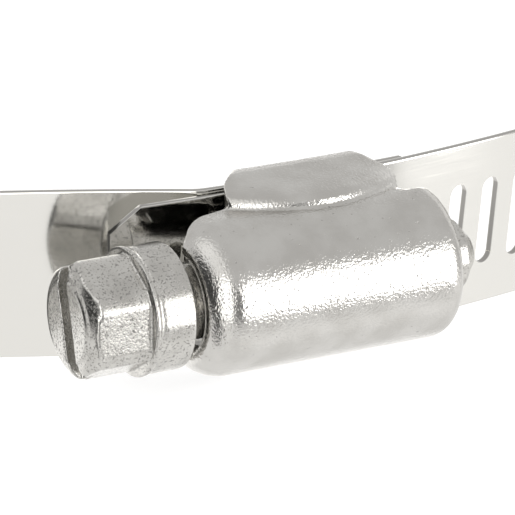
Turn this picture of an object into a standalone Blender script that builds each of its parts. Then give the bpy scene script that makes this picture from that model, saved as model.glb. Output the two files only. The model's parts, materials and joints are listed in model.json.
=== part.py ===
"""Worm-drive hose clamp with a 12.7 mm wide slotted stainless band, ring about 116 mm deep.

Units are metres.  +Y points from the housing into the ring, +X runs along the screw away from
its hex head, and +Z runs across the band.  The origin is the middle of the saddle's flat inner
face, the side that presses on the hose.

The strip slides through the housing on an arc about `band_hinge`, the point at the back of the
ring where the one-piece strip flexes.  The strip is modelled as two halves that meet there.
"""

import math

import bmesh
import bpy
from mathutils import Matrix, Vector

MM = 0.001

# Driving dimensions
BAND_WIDTH = 12.7 * MM
BAND_THICK = 0.6 * MM
PITCH = 3.0 * MM                  # of the worm thread and of the band's slots
RING_DEPTH = 116.0 * MM           # from the strip at the housing to the hinge at the back
GAP = 0.12 * MM                   # between layers that slide or rest on each other

# Layers at the housing, as depths from the strip's outer surface towards the ring's inside
FIXED_OUT = BAND_THICK + GAP
FIXED_IN = FIXED_OUT + BAND_THICK
SADDLE_OUT = FIXED_IN + GAP
SADDLE_IN = SADDLE_OUT + 1.1 * MM

# Worm screw, along X
SCREW_DROP = 3.85 * MM            # its axis lies this far outside the strip
CREST_R = 4.45 * MM
ROOT_R = 3.5 * MM
CREST_WIDTH = 0.55 * MM
RIDGE_WIDTH = 1.25 * MM
THREAD_FROM = -6.6 * MM
THREAD_TO = 5.9 * MM
HEX_ACROSS = 8.0 * MM
HEX_CORNER_R = 4.35 * MM          # the corners are rounded off to this radius
HEX_FROM = -22.3 * MM
COLLAR_FROM = -17.4 * MM
COLLAR_TO = -14.2 * MM
COLLAR_R = 4.65 * MM
NECK_R = 2.85 * MM
TIP_NECK_R = 2.0 * MM
TIP_DISC_R = 2.7 * MM
TIP_DISC_TO = 9.35 * MM
TIP_DOME_R = 1.8 * MM
TIP_END = 10.6 * MM
DRIVER_SLOT_WIDTH = 1.45 * MM
DRIVER_SLOT_DEPTH = 1.1 * MM
DRIVER_SLOT_TURN = math.radians(-14)

# Housing, a trough of bent sheet with two wings folded under the band
BARREL_R = 5.75 * MM
BARREL_BORE = 4.85 * MM
BARREL_FROM = -13.3 * MM          # where the rolled front end reaches furthest
BARREL_TO = 7.55 * MM
SHEET = BARREL_R - BARREL_BORE
BACK_HOLE_R = 2.25 * MM
BACK_ROUND = 1.3 * MM
FLANK_TOP = 0.9 * MM              # the flanks' edges stop this far outside the strip
WING_FROM = -8.2 * MM             # at the fold; the free ends are shorter
WING_TO = 5.4 * MM
WING_HALF = 7.35 * MM             # half width over the wings
WING_ROOT = 2.9 * MM              # the wings leave the flanks this far outside the strip
LIP_REACH = 4.35 * MM             # half of the gap between the two folded lips
LIP_THICK = 0.85 * MM

# Saddle
SADDLE_HALF_LENGTH = 8.3 * MM
SADDLE_WAIST = 4.1 * MM           # half width between the lips
SADDLE_FLANGE = 5.2 * MM          # half width beyond them
BOSS_R = 1.0 * MM
BOSS_PLACE = 3.4 * MM
BOSS_HOLE_R = 1.25 * MM

# Slots in the strip
SLOT_WIDTH = 1.5 * MM
SLOT_LENGTH = 6.6 * MM
SLOT_PHASE = 0.375 * MM           # a slot centre at rest, which takes a thread ridge
FIRST_SLOT = -4
LAST_SLOT = 46
SLOT_LEAN = math.atan(PITCH / (2 * math.pi * SCREW_DROP))

# Plan of the ring
TAIL_END = -16.3 * MM
TAIL_CORNER_LONG = 2.5 * MM
TAIL_CORNER_ACROSS = 1.75 * MM
FIXED_END = 8.0 * MM
FIXED_LEAVES = -8.4 * MM
LEFT_LEAN = math.radians(28)
LEFT_BEND_R = 3.0 * MM
GUIDE_TURN = math.radians(16)     # the arc of strip that can slide through the housing
RIGHT_TURN = math.radians(120)    # heading where the right side changes its radius
BACK_GAP = 0.3 * MM               # between the two halves at the hinge

ORIGIN = Vector((0, SADDLE_IN, 0))
band_hinge = Vector((0, RING_DEPTH, 0)) - ORIGIN
screw_axis = Vector((0, -SCREW_DROP, 0)) - ORIGIN


# ---------------------------------------------------------------- scene helpers

def clear_scene():
    for item in list(bpy.context.scene.objects):
        bpy.data.objects.remove(item)


def new_collection(name):
    collection = bpy.data.collections.new(name)
    bpy.context.scene.collection.children.link(collection)
    return collection


def steel(name, colour, roughness):
    result = bpy.data.materials.new(name)
    result.use_nodes = True
    shader = result.node_tree.nodes["Principled BSDF"]
    shader.inputs["Base Color"].default_value = (*colour, 1)
    shader.inputs["Metallic"].default_value = 1.0
    shader.inputs["Roughness"].default_value = roughness
    return result


def mesh_from(name, bm):
    bm.normal_update()
    bmesh.ops.recalc_face_normals(bm, faces=bm.faces)
    data = bpy.data.meshes.new(name)
    bm.to_mesh(data)
    bm.free()
    return data


def add_object(name, data, collection, place=(0, 0, 0), finish=None):
    result = bpy.data.objects.new(name, data)
    result.location = place
    collection.objects.link(result)
    if finish:
        data.materials.append(finish)
    return result


def add_tool(name, data, place=(0, 0, 0)):
    """A body that only cuts or joins another, and is never part of the result."""
    result = add_object(name, data, tools, place)
    result.hide_render = True
    result.display_type = "WIRE"
    return result


def combine(target, tool, operation):
    step = target.modifiers.new(tool.name, "BOOLEAN")
    step.operation = operation
    step.solver = "EXACT"
    step.object = tool


def loft(name, rings):
    """A solid through rings of points that all have the same count, closed by its end rings."""
    bm = bmesh.new()
    rows = [[bm.verts.new(point) for point in ring] for ring in rings]
    bm.faces.new(rows[0])
    bm.faces.new(rows[-1])
    count = len(rows[0])
    for here, there in zip(rows, rows[1:]):
        for i in range(count):
            j = (i + 1) % count
            bm.faces.new((here[i], here[j], there[j], there[i]))
    return mesh_from(name, bm)


def spindle(name, profile, steps):
    """A solid turned about X from (x, radius) points that run from one end to the other.

    Its facets are turned by a part of a step, so that none lies along a hexagon's corner."""
    offset = 0.4
    rings = []
    for x, r in profile:
        turns = [2 * math.pi * (k + offset) / steps for k in range(steps)]
        rings.append([(x, r * math.cos(turn), r * math.sin(turn)) for turn in turns])
    return loft(name, rings)


def block(name, low, high):
    bm = bmesh.new()
    bmesh.ops.create_cube(bm, size=1)
    low, high = Vector(low), Vector(high)
    bmesh.ops.scale(bm, vec=high - low, verts=bm.verts)
    bmesh.ops.translate(bm, vec=(high + low) / 2, verts=bm.verts)
    return mesh_from(name, bm)


def rod(name, radius, length, sides, place):
    """A cylinder along Y, centred on place."""
    bm = bmesh.new()
    along_y = Matrix.Translation(place) @ Matrix.Rotation(math.pi / 2, 4, "X")
    bmesh.ops.create_cone(bm, cap_ends=True, segments=sides, radius1=radius, radius2=radius,
                          depth=length, matrix=along_y)
    return mesh_from(name, bm)


def arc_points(centre, radius, start, end, steps):
    """Points of an arc from angle start to end, both included."""
    turns = [start + (end - start) * k / steps for k in range(steps + 1)]
    return [(centre[0] + radius * math.cos(t), centre[1] + radius * math.sin(t)) for t in turns]


def in_mm(points):
    """Points given in millimetres, in metres."""
    return [tuple(value * MM for value in point) for point in points]


# ---------------------------------------------------------------- the strip's path in plan

def guide_point(x, depth, z=0.0):
    """The point x along the housing's channel and depth inside the strip's outer surface."""
    turn = x / RING_DEPTH
    radius = RING_DEPTH - depth
    return Vector((radius * math.sin(turn), RING_DEPTH - radius * math.cos(turn), z)) - ORIGIN


class Path:
    """A plan curve of arcs and straights, as stations of (point, heading)."""

    def __init__(self, point, heading):
        self.point = Vector(point)
        self.heading = heading
        self.stations = [(self.point.copy(), heading)]

    def direction(self, turn=0.0):
        return Vector((math.cos(self.heading + turn), math.sin(self.heading + turn), 0))

    def straight(self, length, steps=1):
        for _ in range(steps):
            self.point = self.point + self.direction() * (length / steps)
            self.stations.append((self.point.copy(), self.heading))
        return self

    def arc(self, radius, to_heading, steps):
        """Turns to the heading about a centre that lies `radius` to the side it turns to."""
        turn = to_heading - self.heading
        side = math.copysign(math.pi / 2, turn)
        centre = self.point + self.direction(side) * radius
        for _ in range(steps):
            self.heading += turn / steps
            self.point = centre - self.direction(side) * radius
            self.stations.append((self.point.copy(), self.heading))
        return self

    def at(self, distance):
        """Point and heading at a distance along the stations."""
        for (a, turn_a), (b, turn_b) in zip(self.stations, self.stations[1:]):
            step = (b - a).length
            if distance <= step:
                share = distance / step
                return a.lerp(b, share), turn_a + (turn_b - turn_a) * share
            distance -= step
        return self.stations[-1]


def left_path(straight, radius):
    """The fixed half's outer surface, from its end in the housing to the back of the ring."""
    start = FIXED_END / RING_DEPTH
    path = Path(guide_point(FIXED_END, FIXED_OUT), math.pi + start)
    path.arc(RING_DEPTH - FIXED_OUT, math.pi + FIXED_LEAVES / RING_DEPTH, 6)
    path.arc(LEFT_BEND_R, math.pi - LEFT_LEAN, 4)
    path.straight(straight)
    return path.arc(radius, 0.0, 36)


def right_path(near_radius, far_radius):
    """The free half's outer surface, from the tail's end to the back of the ring."""
    path = Path(guide_point(TAIL_END, 0), TAIL_END / RING_DEPTH)
    path.arc(RING_DEPTH, GUIDE_TURN, 22)
    path.arc(near_radius, RIGHT_TURN, 24)
    return path.arc(far_radius, math.pi, 14)


def closing_sizes(path_of):
    """The two sizes with which path_of ends at the back of the ring.

    The end moves linearly with both sizes, so three trial paths give the answer."""
    target = band_hinge + Vector((0, BAND_THICK / 2, 0))
    none = path_of(0, 0).point
    first = path_of(1, 0).point - none
    second = path_of(0, 1).point - none
    missing = target - none
    area = first.x * second.y - second.x * first.y
    return ((missing.x * second.y - second.x * missing.y) / area,
            (first.x * missing.y - missing.x * first.y) / area)


def strip(name, path, inward, finish):
    """A strip of the band's section along a path; inward is the side of the path it lies on."""
    rings = []
    for point, heading in path.stations:
        normal = Vector((-math.sin(heading), math.cos(heading), 0)) * inward
        half = Vector((0, 0, BAND_WIDTH / 2))
        rings.append([point - half, point + normal * BAND_THICK - half,
                      point + normal * BAND_THICK + half, point + half])
    return add_object(name, loft(name, rings), clamp, finish=finish)


# ---------------------------------------------------------------- sub-parts

def make_housing(finish):
    """A drawn trough round the worm, with wings that fold round the band's edges."""
    trough = add_object("housing", loft("housing", trough_rings()), clamp, screw_axis, finish)
    combine(trough, add_tool("flank_trim", flank_trim()), "DIFFERENCE")
    for side in (1, -1):
        combine(trough, add_tool("wing", wing_mesh(side)), "UNION")
    return trough


def trough_rings():
    """The trough's (x, radius) section, carried down one flank, round the worm and up the other.

    At the front the sheet rolls in towards the screw's neck, and at the back it closes in an arc
    round the tip's hole."""
    rolled = [(1.0, 3.2), (0.5, 3.4), (0.12, 3.75), (0, 4.2), (0.15, 4.6), (0.6, 5.05)]
    rolled += [(1.25, 5.45), (1.9, 5.68), (2.5, 5.75)]
    rolled_inside = [(2.5, 4.85), (1.5, 4.7), (0.95, 4.3), (1.0, 3.9), (1.35, 3.4)]
    section = [(BARREL_FROM + x, r) for x, r in in_mm(rolled)]
    section += arc_points((BARREL_TO - BACK_ROUND, BARREL_R - BACK_ROUND), BACK_ROUND,
                          math.pi / 2, 0, 4)
    section += [(BARREL_TO, BACK_HOLE_R), (BARREL_TO - SHEET, BACK_HOLE_R)]
    section += [(BARREL_TO - SHEET, BARREL_R - BACK_ROUND), (BARREL_TO - BACK_ROUND, BARREL_BORE)]
    section += [(BARREL_FROM + x, r) for x, r in in_mm(rolled_inside)]
    rise = SCREW_DROP - FLANK_TOP
    half_turn = 18
    rings = [[(x, rise, r) for x, r in section]]
    for k in range(half_turn + 1):
        turn = math.pi * k / half_turn
        rings.append([(x, -r * math.sin(turn), r * math.cos(turn)) for x, r in section])
    rings.append([(x, rise, -r) for x, r in section])
    return rings


def flank_trim():
    """Cuts the flanks down at both ends, where the strip passes over them."""
    edge = [(-14.5, -4.15), (-13.2, -4.15), (-12.8, -3.8), (-12.0, -3.1), (-10.8, -2.45)]
    edge += [(-9.6, -2.05), (-8.2, -1.6), (-8.0, -0.95), (4.6, -0.95), (4.9, -3.2)]
    edge += [(5.0, -3.8), (5.5, -4.1), (9, -4.1)]
    outline = in_mm(edge)
    above = 2 * MM
    outline += [(outline[-1][0], above), (outline[0][0], above)]
    across = 7 * MM
    rings = [[Vector((x, y, z)) - ORIGIN for x, y in outline] for z in (-across, across)]
    return loft("flank_trim", rings)


def wing_section():
    """Half of the wings' section as (depth, half width, from x, to x), outside and then inside.

    A wing leaves the flank in a steep crease, is widest at its fold, and has its corners cut back
    towards the lip."""
    low, high = WING_FROM, WING_TO
    short = (low + 2.3 * MM, high - 1.4 * MM)
    inner = BAND_WIDTH / 2 + GAP
    lip_out = FIXED_IN + 0.1 * MM
    lip_in = lip_out + LIP_THICK
    fold = 0.8 * MM
    root_out = BARREL_R - 0.05 * MM
    root_in = BARREL_BORE + 0.1 * MM
    root_far = -WING_ROOT - 1.2 * MM
    shortened = (low + 0.4 * MM, high - 0.3 * MM)
    outside = [(root_far, root_out, *shortened), (-WING_ROOT, root_out, low, high)]
    outside += [(-2.4 * MM, 6.15 * MM, low, high), (-1.9 * MM, 6.55 * MM, low, high)]
    outside += [(-0.5 * MM, 7.05 * MM, low + 0.5 * MM, high - 0.7 * MM)]
    outside += [(0.3 * MM, WING_HALF, low + 1.2 * MM, high - 1.2 * MM)]
    outside += [(*point, *short) for point in
                arc_points((lip_in - fold, WING_HALF - fold), fold, math.pi / 2, 0, 3)]
    inside = [(lip_in, LIP_REACH, *short), (lip_out, LIP_REACH, *short), (lip_out, inner, *short)]
    inside += [(-0.15 * MM, inner, low + MM, high - MM), (-1.5 * MM, 5.3 * MM, low, high)]
    inside += [(-WING_ROOT, root_in, low, high), (root_far, root_in, *shortened)]
    return outside + inside


def wing_mesh(side):
    """One wing, carried along the guide arc."""
    rings = []
    steps = 6
    for k in range(steps + 1):
        rings.append([guide_point(low + (high - low) * k / steps, depth, side * z)
                      for depth, z, low, high in wing_section()])
    return loft("wing", rings)


def make_saddle(finish):
    """An H-shaped plate under the fixed end, with two bosses that key into it."""
    flange = 1.0 * MM
    rings = []
    steps = 8
    for k in range(steps + 1):
        x = -SADDLE_HALF_LENGTH + 2 * SADDLE_HALF_LENGTH * k / steps
        outer = guide_point(x, SADDLE_OUT)
        rings.append([(outer.x, outer.y, -SADDLE_FLANGE), (outer.x, outer.y, SADDLE_FLANGE),
                      (outer.x, 0, SADDLE_FLANGE), (outer.x, 0, -SADDLE_FLANGE)])
    plate = add_object("saddle", loft("saddle", rings), clamp, finish=finish)
    notch = SADDLE_HALF_LENGTH - flange
    beyond = 8 * MM
    boss_length = SADDLE_IN - FIXED_OUT - 0.6 * MM
    boss_middle = (FIXED_OUT + SADDLE_IN) / 2 - 0.25 * MM
    for side in (1, -1):
        low = (-notch, -4 * MM, min(side * SADDLE_WAIST, side * beyond))
        high = (notch, MM, max(side * SADDLE_WAIST, side * beyond))
        combine(plate, add_tool("lip_room", block("lip_room", low, high)), "DIFFERENCE")
        boss = rod("boss", BOSS_R, boss_length, 20, guide_point(side * BOSS_PLACE, boss_middle))
        combine(plate, add_tool("boss", boss), "UNION")
    return plate


def make_fixed_half(finish):
    path = left_path(*closing_sizes(left_path))
    half = strip("band_fixed_half", path, -1, finish)
    for side in (1, -1):
        place = guide_point(side * BOSS_PLACE, FIXED_OUT)
        hole = rod("boss_hole", BOSS_HOLE_R, 4 * MM, 24, place)
        combine(half, add_tool("boss_hole", hole), "DIFFERENCE")
    combine(half, back_cut("fixed_back_cut", 1), "DIFFERENCE")
    return half


def make_free_half(finish):
    path = right_path(*closing_sizes(right_path))
    half = strip("band_free_half", path, 1, finish)
    slots = [slot_cutter(path, SLOT_PHASE + k * PITCH - TAIL_END)
             for k in range(FIRST_SLOT, LAST_SLOT + 1)]
    bm = bmesh.new()
    for data in slots:
        bm.from_mesh(data)
    combine(half, add_tool("slots", mesh_from("slots", bm)), "DIFFERENCE")
    for side in (1, -1):
        combine(half, add_tool("tail_corner", tail_corner(side)), "DIFFERENCE")
    combine(half, back_cut("free_back_cut", -1), "DIFFERENCE")
    return half


def back_cut(name, side):
    """Takes half of the gap at the hinge off one half of the strip."""
    low = Vector((-BACK_GAP / 2 if side > 0 else -2 * MM, -2 * MM, -8 * MM))
    high = Vector((2 * MM if side > 0 else BACK_GAP / 2, 2 * MM, 8 * MM))
    return add_tool(name, block(name, low, high), band_hinge)


def slot_cutter(path, distance):
    """One slot's outline, a leaning rectangle with cut corners, pushed through the strip."""
    point, heading = path.at(distance)
    along = Vector((math.cos(heading), math.sin(heading), 0))
    normal = Vector((-math.sin(heading), math.cos(heading), 0))
    half_width, half_length, corner = SLOT_WIDTH / 2, SLOT_LENGTH / 2, 0.45 * SLOT_WIDTH
    quarter = [(half_width, half_length - corner), (half_width - corner, half_length)]
    outline = quarter + [(-u, w) for u, w in reversed(quarter)]
    outline += [(-u, -w) for u, w in quarter] + [(u, -w) for u, w in reversed(quarter)]
    lean = math.tan(SLOT_LEAN)
    rings = []
    for depth in (-MM, MM + BAND_THICK):
        rings.append([point + normal * depth + along * (u + w * lean) + Vector((0, 0, w))
                      for u, w in outline])
    return loft("slot", rings)


def tail_corner(side):
    """A wedge that cuts one corner off the tail's end."""
    edge = side * BAND_WIDTH / 2
    inset = side * (BAND_WIDTH / 2 - TAIL_CORNER_ACROSS)
    beyond = side * MM
    outline = [(TAIL_END, inset), (TAIL_END + TAIL_CORNER_LONG, edge),
               (TAIL_END + TAIL_CORNER_LONG, edge + beyond), (TAIL_END - MM, edge + beyond),
               (TAIL_END - MM, inset)]
    rings = [[guide_point(x, depth, z) for x, z in outline] for depth in (-MM, MM + BAND_THICK)]
    return loft("tail_corner", rings)


def make_screw(finish):
    """Slotted hex head, collar, worm and riveted tip, in one piece."""
    profile = [(COLLAR_FROM, COLLAR_R), (COLLAR_TO - 0.2 * MM, COLLAR_R)]
    profile += [(COLLAR_TO, COLLAR_R - 0.2 * MM), (COLLAR_TO, NECK_R)]
    profile += [(THREAD_FROM - 0.4 * MM, NECK_R), (THREAD_FROM, ROOT_R), (THREAD_TO, ROOT_R)]
    profile += [(THREAD_TO + 0.8 * MM, TIP_NECK_R), (BARREL_TO + 0.25 * MM, TIP_NECK_R)]
    profile += [(BARREL_TO + 0.25 * MM, TIP_DISC_R), (TIP_DISC_TO, TIP_DISC_R)]
    profile += [(TIP_END - 0.5 * MM, TIP_DOME_R), (TIP_END, TIP_DOME_R - 0.8 * MM)]
    screw = add_object("screw", spindle("screw", profile, 36), clamp, screw_axis, finish)
    combine(screw, add_tool("thread", thread_mesh(), screw_axis), "UNION")
    combine(screw, add_tool("hex_head", hex_mesh(), screw_axis), "UNION")
    reach = 6 * MM
    slot_block = block("driver_slot", (HEX_FROM - MM, -DRIVER_SLOT_WIDTH / 2, -reach),
                       (HEX_FROM + DRIVER_SLOT_DEPTH, DRIVER_SLOT_WIDTH / 2, reach))
    driver_slot = add_tool("driver_slot", slot_block, screw_axis)
    driver_slot.rotation_euler.x = DRIVER_SLOT_TURN
    combine(screw, driver_slot, "DIFFERENCE")
    return screw


def hex_mesh():
    """The hexagon, its front corners rounded off by a cone."""
    rings = []
    steps = 36
    for x, limit in ((HEX_FROM, 3.5 * MM), (HEX_FROM + 0.35 * MM, 3.95 * MM),
                     (HEX_FROM + 0.8 * MM, HEX_CORNER_R), (COLLAR_FROM + MM, HEX_CORNER_R)):
        ring = []
        for k in range(steps):
            turn = 2 * math.pi * k / steps
            off_flat = (turn + math.pi / 6) % (math.pi / 3) - math.pi / 6
            radius = min(limit, HEX_ACROSS / 2 / math.cos(off_flat))
            ring.append((x, radius * math.cos(turn), radius * math.sin(turn)))
        rings.append(ring)
    return loft("hex_head", rings)


def thread_mesh():
    """A right-hand helical ridge whose crest passes +Y at each slot's place."""
    per_turn = 24
    run_out = RIDGE_WIDTH / 2
    first = math.ceil((THREAD_FROM + run_out - SLOT_PHASE) / PITCH * per_turn)
    last = math.floor((THREAD_TO - run_out - SLOT_PHASE) / PITCH * per_turn)
    buried = ROOT_R - 0.25 * MM
    rings = []
    for k in range(first, last + 1):
        turn = 2 * math.pi * k / per_turn
        x = SLOT_PHASE + PITCH * k / per_turn
        fade = min(1.0, (k - first) / 6 + 0.3, (last - k) / 6 + 0.3)
        crest = ROOT_R + (CREST_R - ROOT_R) * fade
        section = [(x - RIDGE_WIDTH / 2, buried), (x - CREST_WIDTH / 2, crest),
                   (x + CREST_WIDTH / 2, crest), (x + RIDGE_WIDTH / 2, buried)]
        rings.append([(u, r * math.cos(turn), r * math.sin(turn)) for u, r in section])
    return loft("thread", rings)


# ---------------------------------------------------------------- assembly

clear_scene()
clamp = new_collection("hose_clamp")
tools = new_collection("hose_clamp_tools")

band_steel = steel("band_steel", (0.74, 0.73, 0.70), 0.16)
housing_steel = steel("housing_steel", (0.66, 0.65, 0.62), 0.30)
screw_steel = steel("screw_steel", (0.60, 0.58, 0.55), 0.34)

make_housing(housing_steel)
make_saddle(housing_steel.copy())
make_fixed_half(band_steel)
make_free_half(band_steel.copy())
make_screw(screw_steel)
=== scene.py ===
"""Looks for the worm-drive hose clamp: pressed steel housing, pitted screw and polished band.

Every piece is modelled in millimetres in the CAD's own layout, where the origin is on the band's
outer surface at the middle of the housing, and is then scaled and moved into the row frame.
"""
import json
import math

import bmesh
import bpy
from mathutils import Euler, Matrix, Vector
from mathutils.kdtree import KDTree


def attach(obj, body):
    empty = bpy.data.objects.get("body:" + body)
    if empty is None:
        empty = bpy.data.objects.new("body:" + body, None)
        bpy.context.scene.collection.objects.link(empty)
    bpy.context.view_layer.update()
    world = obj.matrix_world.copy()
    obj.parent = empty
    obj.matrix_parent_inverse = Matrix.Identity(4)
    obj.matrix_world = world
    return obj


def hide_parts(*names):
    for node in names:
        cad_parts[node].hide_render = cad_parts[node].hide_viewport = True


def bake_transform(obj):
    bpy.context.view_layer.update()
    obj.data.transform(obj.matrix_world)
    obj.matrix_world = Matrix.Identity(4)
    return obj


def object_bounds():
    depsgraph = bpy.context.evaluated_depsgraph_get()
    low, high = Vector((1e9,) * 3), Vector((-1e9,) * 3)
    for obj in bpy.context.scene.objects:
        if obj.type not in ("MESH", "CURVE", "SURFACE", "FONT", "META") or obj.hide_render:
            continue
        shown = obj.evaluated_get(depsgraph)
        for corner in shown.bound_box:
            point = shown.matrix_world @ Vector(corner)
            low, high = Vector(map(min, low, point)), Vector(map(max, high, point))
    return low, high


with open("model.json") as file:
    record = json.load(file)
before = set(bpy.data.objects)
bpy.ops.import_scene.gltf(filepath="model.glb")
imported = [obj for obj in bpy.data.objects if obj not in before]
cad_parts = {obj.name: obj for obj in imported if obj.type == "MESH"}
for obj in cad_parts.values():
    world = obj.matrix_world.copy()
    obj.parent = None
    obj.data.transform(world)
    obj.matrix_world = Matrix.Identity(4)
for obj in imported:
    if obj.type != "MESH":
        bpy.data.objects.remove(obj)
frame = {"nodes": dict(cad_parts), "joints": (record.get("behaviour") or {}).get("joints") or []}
cad_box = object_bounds()

# ---------------------------------------------------------------- sizes, in millimetres
SCALE = 0.001
JOINTS = {joint["name"]: joint for joint in frame["joints"]}
SCREW_Y = JOINTS["screw_turn"]["pos_m"][1] / SCALE
HINGE_Y = JOINTS["band_close"]["pos_m"][1] / SCALE
SCREW_DROP = 3.85                          # screw axis to the band's outer surface
SURFACE_Y = SCREW_Y + SCREW_DROP           # row-frame Y of the band's outer surface
RING_DEPTH = HINGE_Y - SURFACE_Y

BAND_WIDTH = 12.7
BAND_THICK = 0.6
EDGE_ROUND = 0.09                          # of the band's rolled long edges
FLAT_MARGIN = 0.06
LAYER_GAP = 0.12
PITCH = 3.0                                # of the worm thread and of the band's slots
SLOT_PHASE = 0.375                         # a slot's centre at rest, which takes a thread ridge
SLOT_WIDTH = 1.5
SLOT_LENGTH = 6.6
FIRST_SLOT = -4
LAST_SLOT = 46
SLOT_LEAN = math.atan(PITCH / (2 * math.pi * SCREW_DROP))
TAIL_END = -16.3
TAIL_CORNER_LONG = 2.5
TAIL_CORNER_ACROSS = 1.75
FIXED_END = 8.0
FIXED_LEAVES = -8.4
LEFT_LEAN = math.radians(30)               # where the strip leaves the housing
LEFT_BEND_R = 3.0
HOLLOW_R = 150.0                           # the slight hollow behind the screw's head
HOLLOW_LEAN = math.radians(25)
GUIDE_TURN = math.radians(16)              # the arc that can slide through the housing
RIGHT_TURN = math.radians(120)             # heading where the right side changes its radius
ASKEW_DROP = -0.08                         # how the loose strip sits in its channel
ASKEW_SLOPE = 0.022
ASKEW_REACH = 20.0
STATION = 0.8                              # spacing of the band's cross sections

BARREL_R = 5.75
SHEET = 0.9
BARREL_FROM = -13.3                        # where the rolled front end reaches furthest
BARREL_TO = 7.55
BACK_HOLE_R = 2.25
BACK_ROUND = 1.3
FLANK_TOP = 0.9
WING_FROM = -8.2                           # at the fold; the free ends are shorter
WING_TO = 5.4
WING_HALF = 7.35
LIP_REACH = 4.35
LIP_THICK = 0.85
WING_BOW = 2.15                            # how far the upper crease bows towards the worm

HEX_ACROSS = 8.0
HEX_CORNER_R = 4.34
HEX_FROM = -22.3
COLLAR_FROM = -17.4
COLLAR_TO = -14.2
COLLAR_R = 4.65
NECK_R = 2.85
ROOT_R = 3.5
CREST_R = 4.45
RIDGE_WIDTH = 1.25
CREST_WIDTH = 0.55
THREAD_FROM = -6.6
THREAD_TO = 5.9
TIP_NECK_R = 2.0
TIP_DISC_R = 2.7
TIP_DISC_TO = 9.35
TIP_DOME_R = 1.8
TIP_END = 10.6
SLOT_BLADE = 1.45
SLOT_DEEP = 1.15
SLOT_TURN = math.radians(-14)

FIXED_OUT = BAND_THICK + LAYER_GAP
FIXED_IN = FIXED_OUT + BAND_THICK


# ---------------------------------------------------------------- mesh helpers

def to_mesh(name, bm):
    bm.normal_update()
    bmesh.ops.recalc_face_normals(bm, faces=bm.faces)
    data = bpy.data.meshes.new(name)
    bm.to_mesh(data)
    bm.free()
    return data


def add(name, data):
    result = bpy.data.objects.new(name, data)
    bpy.context.scene.collection.objects.link(result)
    return result


def loft(rings):
    """A solid through rings of points with equal counts, closed by its end rings."""
    bm = bmesh.new()
    rows = [[bm.verts.new(point) for point in ring] for ring in rings]
    bm.faces.new(rows[0])
    bm.faces.new(rows[-1])
    count = len(rows[0])
    for here, there in zip(rows, rows[1:]):
        for i in range(count):
            j = (i + 1) % count
            bm.faces.new((here[i], here[j], there[j], there[i]))
    return to_mesh("loft", bm)


def turned_rings(profile, steps, phase):
    """Rings about the screw axis through (x, radius) points, turned by phase steps."""
    rings = []
    for x, r in profile:
        turns = [2 * math.pi * (k + phase) / steps for k in range(steps)]
        rings.append([(x, -SCREW_DROP + r * math.cos(t), r * math.sin(t)) for t in turns])
    return rings


def arc(centre, radius, start, end, steps):
    """Points of an arc in degrees, both ends included."""
    turns = [math.radians(start + (end - start) * k / steps) for k in range(steps + 1)]
    return [(centre[0] + radius * math.cos(t), centre[1] + radius * math.sin(t)) for t in turns]


def box_mesh(low, high):
    bm = bmesh.new()
    bmesh.ops.create_cube(bm, size=1)
    low, high = Vector(low), Vector(high)
    bmesh.ops.scale(bm, vec=high - low, verts=bm.verts)
    bmesh.ops.translate(bm, vec=(high + low) / 2, verts=bm.verts)
    return to_mesh("box", bm)


def boolean(target, data, operation):
    """Applies one exact Boolean and drops the tool."""
    tool = add("tool", data)
    step = target.modifiers.new("cut", "BOOLEAN")
    step.operation = operation
    step.solver = "EXACT"
    step.object = tool
    bake(target)
    bpy.data.objects.remove(tool)


def bake(target):
    """Replaces the object's mesh by its evaluated one and drops its modifiers."""
    bpy.context.view_layer.update()
    graph = bpy.context.evaluated_depsgraph_get()
    data = bpy.data.meshes.new_from_object(target.evaluated_get(graph))
    target.modifiers.clear()
    target.data = data


def soften(target, voxel, passes):
    """Turns hard edges and corners into the small fillets of pressed or tumbled metal."""
    remesh = target.modifiers.new("voxels", "REMESH")
    remesh.mode = "VOXEL"
    remesh.voxel_size = voxel
    relax = target.modifiers.new("relax", "SMOOTH")
    relax.factor = 0.5
    relax.iterations = passes
    bake(target)
    target.data.shade_smooth()


def settle(target, body, node):
    """Moves a finished piece from millimetres into the row frame and ties it to its body."""
    target.data.transform(Matrix.Translation((0, SURFACE_Y * SCALE, 0)) @ Matrix.Scale(SCALE, 4))
    target.data.update()
    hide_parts(node)
    if body:
        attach(target, body)


# ---------------------------------------------------------------- the band's path in plan

def guide_point(x, depth, z=0.0):
    """The point x along the housing's channel and depth inside the strip's outer surface."""
    turn = x / RING_DEPTH
    radius = RING_DEPTH - depth
    return Vector((radius * math.sin(turn), RING_DEPTH - radius * math.cos(turn), z))


class Path:
    """A plan curve of arcs and straights, as stations of (point, heading)."""

    def __init__(self, point, heading):
        self.point = Vector(point)
        self.heading = heading
        self.stations = [(self.point.copy(), heading)]

    def direction(self, turn=0.0):
        return Vector((math.cos(self.heading + turn), math.sin(self.heading + turn), 0))

    def straight(self, length):
        steps = max(1, round(abs(length) / STATION))
        for _ in range(steps):
            self.point = self.point + self.direction() * (length / steps)
            self.stations.append((self.point.copy(), self.heading))
        return self

    def arc(self, radius, to_heading):
        turn = to_heading - self.heading
        steps = max(6, round(abs(radius * turn) / STATION))
        side = math.copysign(math.pi / 2, turn)
        centre = self.point + self.direction(side) * radius
        for _ in range(steps):
            self.heading += turn / steps
            self.point = centre - self.direction(side) * radius
            self.stations.append((self.point.copy(), self.heading))
        return self

    def at(self, distance):
        for (a, turn_a), (b, turn_b) in zip(self.stations, self.stations[1:]):
            step = (b - a).length
            if distance <= step:
                share = distance / step
                return a.lerp(b, share), turn_a + (turn_b - turn_a) * share
            distance -= step
        return self.stations[-1]


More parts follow.
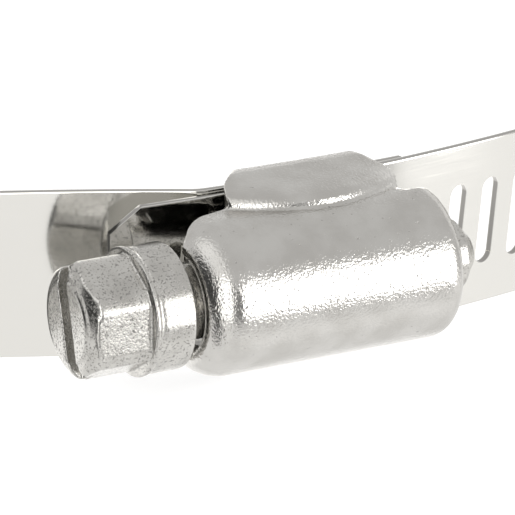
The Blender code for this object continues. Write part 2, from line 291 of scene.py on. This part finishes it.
def left_path(straight, radius):
    path = Path(guide_point(FIXED_END, FIXED_OUT), math.pi + FIXED_END / RING_DEPTH)
    path.arc(RING_DEPTH - FIXED_OUT, math.pi + FIXED_LEAVES / RING_DEPTH)
    path.arc(LEFT_BEND_R, math.pi - LEFT_LEAN)
    path.arc(HOLLOW_R, math.pi - HOLLOW_LEAN)
    return path.straight(straight).arc(radius, 0.0)


def right_path(near_radius, far_radius):
    path = Path(guide_point(TAIL_END, 0), TAIL_END / RING_DEPTH)
    path.arc(RING_DEPTH, GUIDE_TURN)
    return path.arc(near_radius, RIGHT_TURN).arc(far_radius, math.pi)


def closed_path(path_of):
    """The path whose two sizes bring it to the back of the ring; its end is linear in both."""
    none = path_of(0, 0).point
    first = path_of(1, 0).point - none
    second = path_of(0, 1).point - none
    missing = Vector((0, RING_DEPTH + BAND_THICK / 2, 0)) - none
    area = first.x * second.y - second.x * first.y
    return path_of((missing.x * second.y - second.x * missing.y) / area,
                   (first.x * missing.y - missing.x * first.y) / area)


def strip_section():
    """The strip's section as (depth, z), its long edges rounded by rolling.

    A line just inside each edge keeps the flat faces flat when they are shaded smooth."""
    half, thick, r = BAND_WIDTH / 2, BAND_THICK, EDGE_ROUND
    flat = half - r - FLAT_MARGIN
    ring = [(0, flat)] + arc((r, half - r), r, 180, 90, 4)
    ring += arc((thick - r, half - r), r, 90, 0, 4) + [(thick, flat), (thick, -flat)]
    ring += arc((thick - r, r - half), r, 0, -90, 4) + arc((r, r - half), r, -90, -180, 4)
    return ring + [(0, -flat)]


def strip(name, path, inward):
    rings = []
    for point, heading in path.stations:
        normal = Vector((-math.sin(heading), math.cos(heading), 0)) * inward
        rings.append([point + normal * depth + Vector((0, 0, z)) for depth, z in strip_section()])
    return add(name, loft(rings))


def lay_grain(target, path):
    """Stores each point's distance along the strip and height across it, for the rolled grain,
    and how deep it lies in the strip, from 0 at one face to 1 at the other."""
    stations = []
    run = 0.0
    for (a, _), (b, _) in zip(path.stations, path.stations[1:]):
        stations.append((a.x, a.y, run))
        run += (b - a).length
    tree = KDTree(len(stations))
    for i, (x, y, _) in enumerate(stations):
        tree.insert((x, y, 0), i)
    tree.balance()
    flow = target.data.attributes.new("grain", "FLOAT_VECTOR", "POINT")
    values = []
    for vert in target.data.vertices:
        _, index, _ = tree.find((vert.co.x, vert.co.y, 0))
        point, heading = path.stations[index]
        along = (vert.co - point).dot(Vector((math.cos(heading), math.sin(heading), 0)))
        across = (vert.co - point).dot(Vector((-math.sin(heading), math.cos(heading), 0)))
        values.extend((stations[index][2] + along, vert.co.z, abs(across) / BAND_THICK))
    flow.data.foreach_set("vector", values)


# ---------------------------------------------------------------- pieces

def make_fixed_half():
    path = closed_path(left_path)
    piece = strip("band_strip_fixed", path, -1)
    lay_grain(piece, path)
    piece.data.shade_smooth()
    piece.data.set_sharp_from_angle(angle=math.radians(50))
    return piece


def make_free_half():
    path = closed_path(right_path)
    piece = strip("band_strip_free", path, 1)
    bm = bmesh.new()
    for k in range(FIRST_SLOT, LAST_SLOT + 1):
        bm.from_mesh(slot_cutter(path, SLOT_PHASE + k * PITCH - TAIL_END))
    boolean(piece, to_mesh("slots", bm), "DIFFERENCE")
    for side in (1, -1):
        boolean(piece, tail_corner(side), "DIFFERENCE")
    lay_grain(piece, path)
    for vert in piece.data.vertices:
        vert.co.z += askew(vert.co)
    piece.data.shade_smooth()
    piece.data.set_sharp_from_angle(angle=math.radians(50))
    return piece


def askew(place):
    """The worm's thrust holds the loose strip slightly tilted in its channel, tail down."""
    near = math.exp(-(place.y / ASKEW_REACH) ** 2)
    return near * (ASKEW_DROP + ASKEW_SLOPE * min(place.x, ASKEW_REACH))


def slot_cutter(path, distance):
    """One slot with round ends, leaning with the thread."""
    point, heading = path.at(distance)
    along = Vector((math.cos(heading), math.sin(heading), 0))
    normal = Vector((-math.sin(heading), math.cos(heading), 0))
    r = SLOT_WIDTH / 2
    reach = SLOT_LENGTH / 2 - r
    outline = arc((0, reach), r, 0, 180, 12) + arc((0, -reach), r, 180, 360, 12)
    lean = math.tan(SLOT_LEAN)
    rings = []
    for depth in (-1, BAND_THICK + 1):
        rings.append([point + normal * depth + along * (u + w * lean) + Vector((0, 0, w))
                      for u, w in outline])
    return loft(rings)


def tail_corner(side):
    """A wedge that cuts one corner off the tail's end."""
    edge = side * (BAND_WIDTH / 2 + 0.01)
    inset = side * (BAND_WIDTH / 2 - TAIL_CORNER_ACROSS)
    outline = [(TAIL_END, inset), (TAIL_END + TAIL_CORNER_LONG, edge),
               (TAIL_END + TAIL_CORNER_LONG, edge + side), (TAIL_END - 1, edge + side),
               (TAIL_END - 1, inset)]
    return loft([[guide_point(x, depth, z) for x, z in outline] for depth in (-1, BAND_THICK + 1)])


def make_housing():
    """The pressed shell: a trough round the worm and two wings folded round the band."""
    piece = add("housing_shell", loft(trough_rings()))
    boolean(piece, flank_trim(), "DIFFERENCE")
    for side in (1, -1):
        boolean(piece, wing(side), "UNION")
    soften(piece, 0.11, 10)
    return piece


def smooth_curve(points, steps):
    """A Catmull-Rom curve through the points, ends included."""
    ends = [points[0], *points, points[-1]]
    curve = []
    for a, b, c, d in zip(ends, ends[1:], ends[2:], ends[3:]):
        for k in range(steps):
            t = k / steps
            curve.append(tuple(0.5 * (2 * q + (r - p) * t + (2 * p - 5 * q + 4 * r - u) * t * t
                                      + (3 * q - p - 3 * r + u) * t ** 3)
                               for p, q, r, u in zip(a, b, c, d)))
    return curve + [points[-1]]


def trough_rings():
    """The (x, radius) section of the sheet, carried down one flank, round the worm and up.

    At the front the sheet rolls in towards the screw's neck; at the back it closes in an arc."""
    outer_roll = [(3.4, 5.75), (2.5, 5.75), (1.9, 5.68), (1.25, 5.45), (0.6, 5.05), (0.15, 4.6),
                  (0, 4.2), (0.12, 3.75), (0.5, 3.4), (1.0, 3.2)]
    inner_roll = [(1.35, 3.4), (1.0, 3.9), (0.95, 4.3), (1.5, 4.7), (2.5, 4.85)]
    front = [(BARREL_FROM + x, r) for x, r in smooth_curve(outer_roll, 5)[::-1]]
    front_inside = [(BARREL_FROM + x, r) for x, r in smooth_curve(inner_roll, 4)[::-1]]
    back = arc((BARREL_TO - BACK_ROUND, BARREL_R - BACK_ROUND), BACK_ROUND, 90, 0, 10)
    section = front + back + [(BARREL_TO, BACK_HOLE_R), (BARREL_TO - SHEET, BACK_HOLE_R)]
    section += [(BARREL_TO - SHEET, BARREL_R - BACK_ROUND)]
    section += [(BARREL_TO - BACK_ROUND, BARREL_R - SHEET)] + front_inside
    rise = -FLANK_TOP
    rings = [[(x, rise, r) for x, r in section]]
    half_turn = 72
    for k in range(half_turn + 1):
        turn = math.pi * k / half_turn
        rings.append([(x, -SCREW_DROP - r * math.sin(turn), r * math.cos(turn))
                      for x, r in section])
    rings.append([(x, rise, -r) for x, r in section])
    return rings


def flank_trim():
    """Cuts the flanks' free edges down at both ends, where the strip passes over them."""
    front = [(-14.5, -4.2), (-13.2, -4.2), (-12.75, -3.85), (-12.0, -3.1), (-10.8, -2.45),
             (-9.6, -2.05), (-8.6, -1.75), (-8.2, -1.45), (-8.0, -0.95)]
    back = [(4.6, -0.95), (4.8, -2.4), (4.9, -3.3), (5.1, -3.85), (5.6, -4.1), (9, -4.15)]
    outline = [(-14.5, 3), *smooth_curve(front, 5), *smooth_curve(back, 5), (9, 3)]
    return loft([[(x, y, z) for x, y in outline] for z in (-7, 7)])


def wing_section():
    """Half of the wings' section, outside and then inside, as points of
    (depth, half width, from x, to x, outward bow at mid length).

    The crease where the wing leaves the flank is steep, and the upper one bows towards the worm.
    The wing is widest at its fold, and its corners are cut back towards the lip."""
    inner = BAND_WIDTH / 2 + 0.25
    lip_out = FIXED_IN + 0.1
    lip_in = lip_out + LIP_THICK
    fold = 1.0
    low, high = WING_FROM, WING_TO
    crease = [(-2.7, 5.4, low, high, WING_BOW), (-2.5, 6.0, low, high, WING_BOW)]
    crease += [(-2.35, 6.3, low, high, WING_BOW), (-2.1, 6.52, low, high, 2.1)]
    crease += [(-1.8, 6.65, low + 0.1, high, 2.0), (-1.35, 6.78, low + 0.2, high - 0.1, 1.7)]
    crease += [(-0.5, 7.03, low + 0.5, high - 0.7, 0.6), (0.1, 7.25, low + 0.9, high - 1, 0.1)]
    crease += [(0.5, WING_HALF, low + 1.4, high - 1.2, 0)]
    short = (low + 2.3, high - 1.4, 0)
    outside = smooth_curve(crease, 3)
    outside += [(*point, *short) for point in
                arc((lip_in - fold, WING_HALF - fold), fold, 90, 0, 8)]
    inside = [(lip_in, LIP_REACH, *short), (lip_out, LIP_REACH, *short), (lip_out, inner, *short)]
    inside += [(-0.15, inner, low + 1, high - 1, 0), (-1.5, 5.4, low, high, 0)]
    inside += [(-2.6, BARREL_R - SHEET + 0.06, low, high, WING_BOW)]
    return outside + inside


def wing(side):
    rings = []
    steps = 32
    for k in range(steps + 1):
        share = k / steps
        bow = 1 - (2 * share - 1) ** 2 if side > 0 else 0
        rings.append([guide_point(low + (high - low) * share, depth - bow * reach, side * z)
                      for depth, z, low, high, reach in wing_section()])
    return loft(rings)


def make_saddle():
    """The CAD's own saddle, with its punched edges rounded over."""
    piece = add("saddle_plate", frame["nodes"]["saddle"].data.copy())
    piece.data.transform(Matrix.Scale(1 / SCALE, 4) @ Matrix.Translation((0, -SURFACE_Y * SCALE, 0)))
    bm = bmesh.new()
    bm.from_mesh(piece.data)
    bmesh.ops.remove_doubles(bm, verts=bm.verts, dist=0.001)
    piece.data = to_mesh("saddle_plate", bm)
    soften(piece, 0.12, 6)
    return piece


def make_screw():
    """Slotted hex head, collar, worm and riveted tip, in one piece."""
    profile = [(COLLAR_FROM - 0.1, 3.6), (COLLAR_FROM - 0.1, COLLAR_R - 0.05)]
    profile += [(COLLAR_FROM, COLLAR_R + 0.1), (COLLAR_FROM + 0.22, COLLAR_R + 0.1)]
    profile += [(COLLAR_FROM + 0.42, COLLAR_R - 0.04), (COLLAR_FROM + 0.8, COLLAR_R)]
    profile += arc((COLLAR_TO - 0.2, COLLAR_R - 0.2), 0.2, 90, 0, 4) + [(COLLAR_TO, NECK_R)]
    profile += [(THREAD_FROM - 0.4, NECK_R), (THREAD_FROM, ROOT_R), (THREAD_TO, ROOT_R)]
    profile += [(THREAD_TO + 0.8, TIP_NECK_R), (BARREL_TO + 0.25, TIP_NECK_R)]
    profile += [(BARREL_TO + 0.25, TIP_DISC_R), (TIP_DISC_TO, TIP_DISC_R)]
    profile += [(TIP_END - 0.5, TIP_DOME_R), (TIP_END - 0.1, TIP_DOME_R - 0.4), (TIP_END, 0.9)]
    piece = add("worm_screw", loft(turned_rings(profile, 144, 0.4)))
    boolean(piece, thread(), "UNION")
    boolean(piece, hex_head(), "UNION")
    blade = box_mesh((HEX_FROM - 1, -SLOT_BLADE / 2, -6), (HEX_FROM + SLOT_DEEP, SLOT_BLADE / 2, 6))
    blade.transform(Matrix.Translation((0, -SCREW_DROP, 0)) @ Matrix.Rotation(SLOT_TURN, 4, "X"))
    boolean(piece, blade, "DIFFERENCE")
    soften(piece, 0.075, 5)
    return piece


def hex_radius(turn, limit):
    """Distance from the axis to the hexagon, or to the chamfer's circle where that is nearer."""
    off_flat = (turn + math.pi / 6) % (math.pi / 3) - math.pi / 6
    return min(limit, HEX_ACROSS / 2 / math.cos(off_flat))


def hex_head():
    """The hexagon with its forged front: a raised middle, a bevelled rim and trimmed corners."""
    stations = [(HEX_FROM, 3.0), (HEX_FROM + 0.12, 3.12), (HEX_FROM + 0.18, 3.5)]
    stations += [(HEX_FROM + 0.38, 3.85), (HEX_FROM + 0.6, 4.12)]
    stations += [(HEX_FROM + 0.9, HEX_CORNER_R), (COLLAR_FROM + 0.4, HEX_CORNER_R)]
    rings = []
    steps = 180
    for x, limit in stations:
        turns = [2 * math.pi * k / steps for k in range(steps)]
        rings.append([(x, -SCREW_DROP + hex_radius(t, limit) * math.cos(t),
                       hex_radius(t, limit) * math.sin(t)) for t in turns])
    return loft(rings)


def thread():
    """A right-hand helical ridge whose crest passes +Y at each slot's place."""
    per_turn = 72
    run_out = RIDGE_WIDTH / 2
    first = math.ceil((THREAD_FROM + run_out - SLOT_PHASE) / PITCH * per_turn)
    last = math.floor((THREAD_TO - run_out - SLOT_PHASE) / PITCH * per_turn)
    buried = ROOT_R - 0.25
    rings = []
    for k in range(first, last + 1):
        turn = 2 * math.pi * k / per_turn
        x = SLOT_PHASE + PITCH * k / per_turn
        fade = min(1.0, (k - first) / 18 + 0.3, (last - k) / 18 + 0.3)
        crest = ROOT_R + (CREST_R - ROOT_R) * fade
        section = [(x - RIDGE_WIDTH / 2, buried), (x - CREST_WIDTH / 2, crest),
                   (x + CREST_WIDTH / 2, crest), (x + RIDGE_WIDTH / 2, buried)]
        rings.append([(u, -SCREW_DROP + r * math.cos(turn), r * math.sin(turn))
                      for u, r in section])
    return loft(rings)


# ---------------------------------------------------------------- materials

class Nodes:
    """A short way to write a node tree: each call adds a node and returns its first output."""

    def __init__(self, tree):
        self.tree = tree

    def node(self, kind, **settings):
        result = self.tree.nodes.new(kind)
        for key, value in settings.items():
            setattr(result, key, value)
        return result

    def feed(self, socket, value):
        if isinstance(value, bpy.types.NodeSocket):
            self.tree.links.new(value, socket)
        else:
            socket.default_value = value

    def math(self, operation, a, b=0.0):
        result = self.node("ShaderNodeMath", operation=operation)
        self.feed(result.inputs[0], a)
        self.feed(result.inputs[1], b)
        return result.outputs[0]

    def noise(self, vector, scale, detail=2.0, rough=0.5):
        result = self.node("ShaderNodeTexNoise")
        self.feed(result.inputs["Vector"], vector)
        result.inputs["Scale"].default_value = scale
        result.inputs["Detail"].default_value = detail
        result.inputs["Roughness"].default_value = rough
        return result.outputs["Fac"]

    def stretch(self, vector, factors):
        result = self.node("ShaderNodeVectorMath", operation="MULTIPLY")
        self.feed(result.inputs[0], vector)
        result.inputs[1].default_value = factors
        return result.outputs[0]

    def ramp(self, value, low, high):
        """0 below low, 1 above high, smooth between."""
        result = self.node("ShaderNodeMapRange", interpolation_type="SMOOTHSTEP")
        self.feed(result.inputs["Value"], value)
        self.feed(result.inputs["From Min"], low)
        self.feed(result.inputs["From Max"], high)
        return result.outputs["Result"]

    def mix(self, share, a, b):
        result = self.node("ShaderNodeMix", data_type="RGBA")
        self.feed(result.inputs["Factor"], share)
        self.feed(result.inputs[6], a)
        self.feed(result.inputs[7], b)
        return result.outputs[2]

    def window(self, value, low, high, edge):
        """1 between low and high, 0 outside, with soft edges of the given width."""
        middle, half = (low + high) / 2, (high - low) / 2
        off = self.math("ABSOLUTE", self.math("SUBTRACT", value, float(middle)))
        return self.math("SUBTRACT", 1.0, self.ramp(off, half - edge / 2, half + edge / 2))

    def scaled(self, value, factor, offset):
        return self.math("ADD", self.math("MULTIPLY", value, factor), offset)

    def bump(self, height, distance, strength=1.0, normal=None):
        result = self.node("ShaderNodeBump")
        self.feed(result.inputs["Height"], height)
        result.inputs["Distance"].default_value = distance
        result.inputs["Strength"].default_value = strength
        if normal is not None:
            self.feed(result.inputs["Normal"], normal)
        return result.outputs[0]


def steel(name):
    """An empty metallic material with its node helper and its shader."""
    result = bpy.data.materials.new(name)
    result.use_nodes = True
    shader = result.node_tree.nodes["Principled BSDF"]
    shader.inputs["Metallic"].default_value = 1.0
    return result, Nodes(result.node_tree), shader


def place_coordinates(n):
    return n.node("ShaderNodeTexCoord").outputs["Object"]


def housing_steel():
    """Tumbled sheet: a fine orange-peel grain with faint drawing marks along the barrel."""
    result, n, shader = steel("housing_steel")
    at = place_coordinates(n)
    blotch = n.noise(at, 350, 4)
    grain = n.noise(at, 5000, 1.5, 0.6)
    fine = n.noise(at, 9000, 2)
    drawn = n.noise(n.stretch(at, (0.15, 1, 1)), 3000, 2)
    pits = n.ramp(n.noise(at, 2600, 2, 0.6), 0.69, 0.75)
    colour = n.mix(n.ramp(blotch, 0.3, 0.7), (0.60, 0.588, 0.565, 1), (0.69, 0.68, 0.66, 1))
    colour = n.mix(n.math("MULTIPLY", pits, 0.5), colour, (0.25, 0.24, 0.23, 1))
    n.feed(shader.inputs["Base Color"], colour)
    n.feed(shader.inputs["Roughness"], n.scaled(fine, 0.08, 0.12))
    first = n.bump(drawn, 0.000008, 0.15)
    second = n.bump(grain, 0.000045, 0.9, first)
    n.feed(shader.inputs["Normal"], n.bump(n.math("SUBTRACT", 1.0, pits), 0.00003, 0.6, second))
    return result


def screw_steel():
    """Cold-headed steel, peppered with fine dark pits."""
    result, n, shader = steel("screw_steel")
    at = place_coordinates(n)
    grain = n.noise(at, 4600, 3, 0.7)
    blotch = n.noise(at, 600, 3)
    pits = n.ramp(n.noise(at, 6000, 2, 0.6), 0.56, 0.64)
    colour = n.mix(n.ramp(blotch, 0.3, 0.7), (0.57, 0.56, 0.535, 1), (0.69, 0.68, 0.655, 1))
    colour = n.mix(n.math("MULTIPLY", pits, 0.6), colour, (0.16, 0.155, 0.15, 1))
    n.feed(shader.inputs["Base Color"], colour)
    n.feed(shader.inputs["Roughness"], n.scaled(grain, 0.12, 0.12))
    first = n.bump(n.math("SUBTRACT", 1.0, pits), 0.00002, 0.6)
    n.feed(shader.inputs["Normal"], n.bump(grain, 0.00002, 0.7, first))
    return result


def band_steel():
    """Bright rolled strip: nearly a mirror, with hairlines along its length."""
    result, n, shader = steel("band_steel")
    flow = n.node("ShaderNodeAttribute", attribute_name="grain").outputs["Vector"]
    lines = n.noise(n.stretch(flow, (0.03, 1, 1)), 5.0, 3, 0.6)
    wave = n.noise(n.stretch(flow, (0.5, 1, 1)), 0.20, 2)
    specks = n.ramp(n.noise(flow, 6.5, 2, 0.6), 0.70, 0.78)
    split = n.node("ShaderNodeSeparateXYZ")
    n.feed(split.inputs[0], flow)
    # Mid-thickness (the cut edges and slot walls) is darkened: partly rough sheared steel, partly a
    # painted dark reflection of the ceiling along the band's edges
    sheared_and_painted_reflection = n.window(split.outputs[2], 0.12, 0.88, 0.1)
    colour = n.mix(n.math("MULTIPLY", specks, 0.35), (0.76, 0.752, 0.725, 1), (0.3, 0.29, 0.28, 1))
    colour = n.mix(n.math("MULTIPLY", sheared_and_painted_reflection, 0.6), colour, (0.22, 0.21, 0.2, 1))
    n.feed(shader.inputs["Base Color"], colour)
    n.feed(shader.inputs["Roughness"], n.scaled(lines, 0.07, 0.05))
    first = n.bump(wave, 0.00012, 0.20)
    n.feed(shader.inputs["Normal"], n.bump(lines, 0.000004, 0.35, first))
    return result


# ---------------------------------------------------------------- stage, light and camera

# Light by direction. Azimuth runs from -Y towards +X, both angles in degrees. Each patch covers
# the ones before it: (azimuth from, to, edge, elevation from, to, edge, level)
SKY = 0.67
TABLE_GLOW = 0.93
PATCHES = (
    (-14, 36, 6, -37, -22, 6, 0.78),       # the table in front, in the soft box's own shadow
    (10, 75, 16, -56, -39, 6, 1.06),
    (-37, -17, 6, -70, -13, 4, 1.03),      # bright table on the left and on the right
    (36, 85, 6, -32, -12, 5, 1.10),
    (94, 140, 8, -36, 34, 10, 0.98),       # a white wall behind on the right
    (-150, -24, 20, 51, 77, 12, 1.08),     # and a glow high on the left
    (-190, -142, 6, -45, 12, 10, 1.25),    # bright panels behind the head
    (138, 190, 8, -45, 12, 10, 1.25),
    (-138, -116, 6, -40, -8, 8, 0.80),
    (-116, -62, 8, -10, 44, 8, 0.06),      # dark gaps between the panels and the soft boxes
    (-66, -44, 4, -48, 41, 6, 0.10),
    (-14, 22, 4, -21, 25, 5, 0.28),
    (-14, 36, 4, -19.5, -14, 1.5, 0.26),
    (46, 75, 6, -12, 24, 6, 0.75),
    (-64, -22, 10, 34, 60, 12, 1.10),      # soft box on the left, fading upwards
    (-44, -15, 4, -14, 38, 5, 2.4),
    (22, 45, 3, -15.5, 24, 3, 5.0),        # soft box on the right
)


def studio():
    """A plain room by direction: grey ceiling, pale table, two soft boxes and dark gaps.

    The metal mirrors it, and the camera itself sees a plain pale backdrop."""
    world = bpy.data.worlds.new("studio")
    bpy.context.scene.world = world
    world.use_nodes = True
    n = Nodes(world.node_tree)
    split = n.node("ShaderNodeSeparateXYZ")
    n.feed(split.inputs[0], n.node("ShaderNodeTexCoord").outputs["Generated"])
    x, y, z = split.outputs
    height = n.math("MULTIPLY", n.math("ARCSINE", z), 180 / math.pi)
    around = n.math("MULTIPLY", n.math("ARCTAN2", x, n.math("MULTIPLY", y, -1.0)), 180 / math.pi)
    level = n.scaled(n.ramp(height, -23.0, -19.0), SKY - TABLE_GLOW, TABLE_GLOW)
    for low, high, edge, bottom, top, soft, value in PATCHES:
        inside = n.math("MULTIPLY", n.window(around, low, high, edge),
                        n.window(height, bottom, top, soft))
        step = n.math("MULTIPLY", inside, n.math("SUBTRACT", value, level))
        level = n.math("ADD", level, step)
    back = world.node_tree.nodes["Background"]
    seen = n.node("ShaderNodeLightPath").outputs["Is Camera Ray"]
    plain = n.math("MULTIPLY", seen, n.math("SUBTRACT", TABLE_GLOW, level))
    n.feed(back.inputs["Color"], (1, 0.99, 0.972, 1))
    n.feed(back.inputs["Strength"], n.math("ADD", level, plain))


def floor():
    """A plain white table. The metal mirrors the room's own pale table instead of this one."""
    bm = bmesh.new()
    half_size, clearance = 1.5, 0.00002
    bmesh.ops.create_grid(bm, x_segments=8, y_segments=8, size=half_size)
    table = add("table", to_mesh("table", bm))
    table.location.z = cad_box[0][2] - clearance
    result = bpy.data.materials.new("table_white")
    result.use_nodes = True
    n = Nodes(result.node_tree)
    shader = result.node_tree.nodes["Principled BSDF"]
    shader.inputs["Base Color"].default_value = (0.5, 0.5, 0.5, 1)
    shader.inputs["Roughness"].default_value = 0.9
    tint = n.mix(n.ramp(n.noise(place_coordinates(n), 30, 2), 0.3, 0.7), (1, 1, 1, 1),
                 (0.99, 0.99, 0.99, 1))
    n.feed(shader.inputs["Emission Color"], tint)
    shader.inputs["Emission Strength"].default_value = 0.82
    table.data.materials.append(result)
    table.visible_glossy = False


# The camera stands on the head's side, a little above, and looks at the housing
CAMERA_AZIMUTH = math.radians(-29.14)
CAMERA_ELEVATION = math.radians(18.74)
CAMERA_DISTANCE = 0.35
CAMERA_PAN = math.radians(0.692)
CAMERA_TILT = math.radians(0.014)
CAMERA_LENS = 332.7


def camera():
    """A long lens that holds the housing's end of the ring."""
    azimuth, elevation = CAMERA_AZIMUTH, CAMERA_ELEVATION
    target = Vector((0, SURFACE_Y * SCALE, 0))
    back = Vector((math.sin(azimuth) * math.cos(elevation),
                   -math.cos(azimuth) * math.cos(elevation), math.sin(elevation)))
    data = bpy.data.cameras.new("camera")
    data.lens = CAMERA_LENS
    data.sensor_width = 36.0
    data.clip_start = 0.01
    data.clip_end = 10
    result = bpy.data.objects.new("camera", data)
    bpy.context.scene.collection.objects.link(result)
    result.location = target + back * CAMERA_DISTANCE
    facing = back.to_track_quat("Z", "Y").to_matrix()
    aim = Euler((CAMERA_TILT, CAMERA_PAN, 0)).to_matrix()
    result.rotation_euler = (facing @ aim).to_euler()
    bpy.context.scene.camera = result


# ---------------------------------------------------------------- assembly

FINISH = {"housing_steel": housing_steel(), "screw_steel": screw_steel(),
          "band_steel": band_steel()}
PIECES = ((make_housing, "housing_assembly", "housing", "housing_steel"),
          (make_saddle, "housing_assembly", "saddle", "housing_steel"),
          (make_fixed_half, "housing_assembly", "band_fixed_half", "band_steel"),
          (make_free_half, None, "band_free_half", "band_steel"),
          (make_screw, "worm_screw", "screw", "screw_steel"))
made = {}
for build, body, node, slot in PIECES:
    made[node] = build()
    made[node].data.materials.clear()
    made[node].data.materials.append(FINISH[slot])
    settle(made[node], body, node)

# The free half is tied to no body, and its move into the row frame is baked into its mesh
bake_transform(made["band_free_half"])

studio()
floor()
camera()
bpy.context.scene.view_settings.view_transform = "Standard"
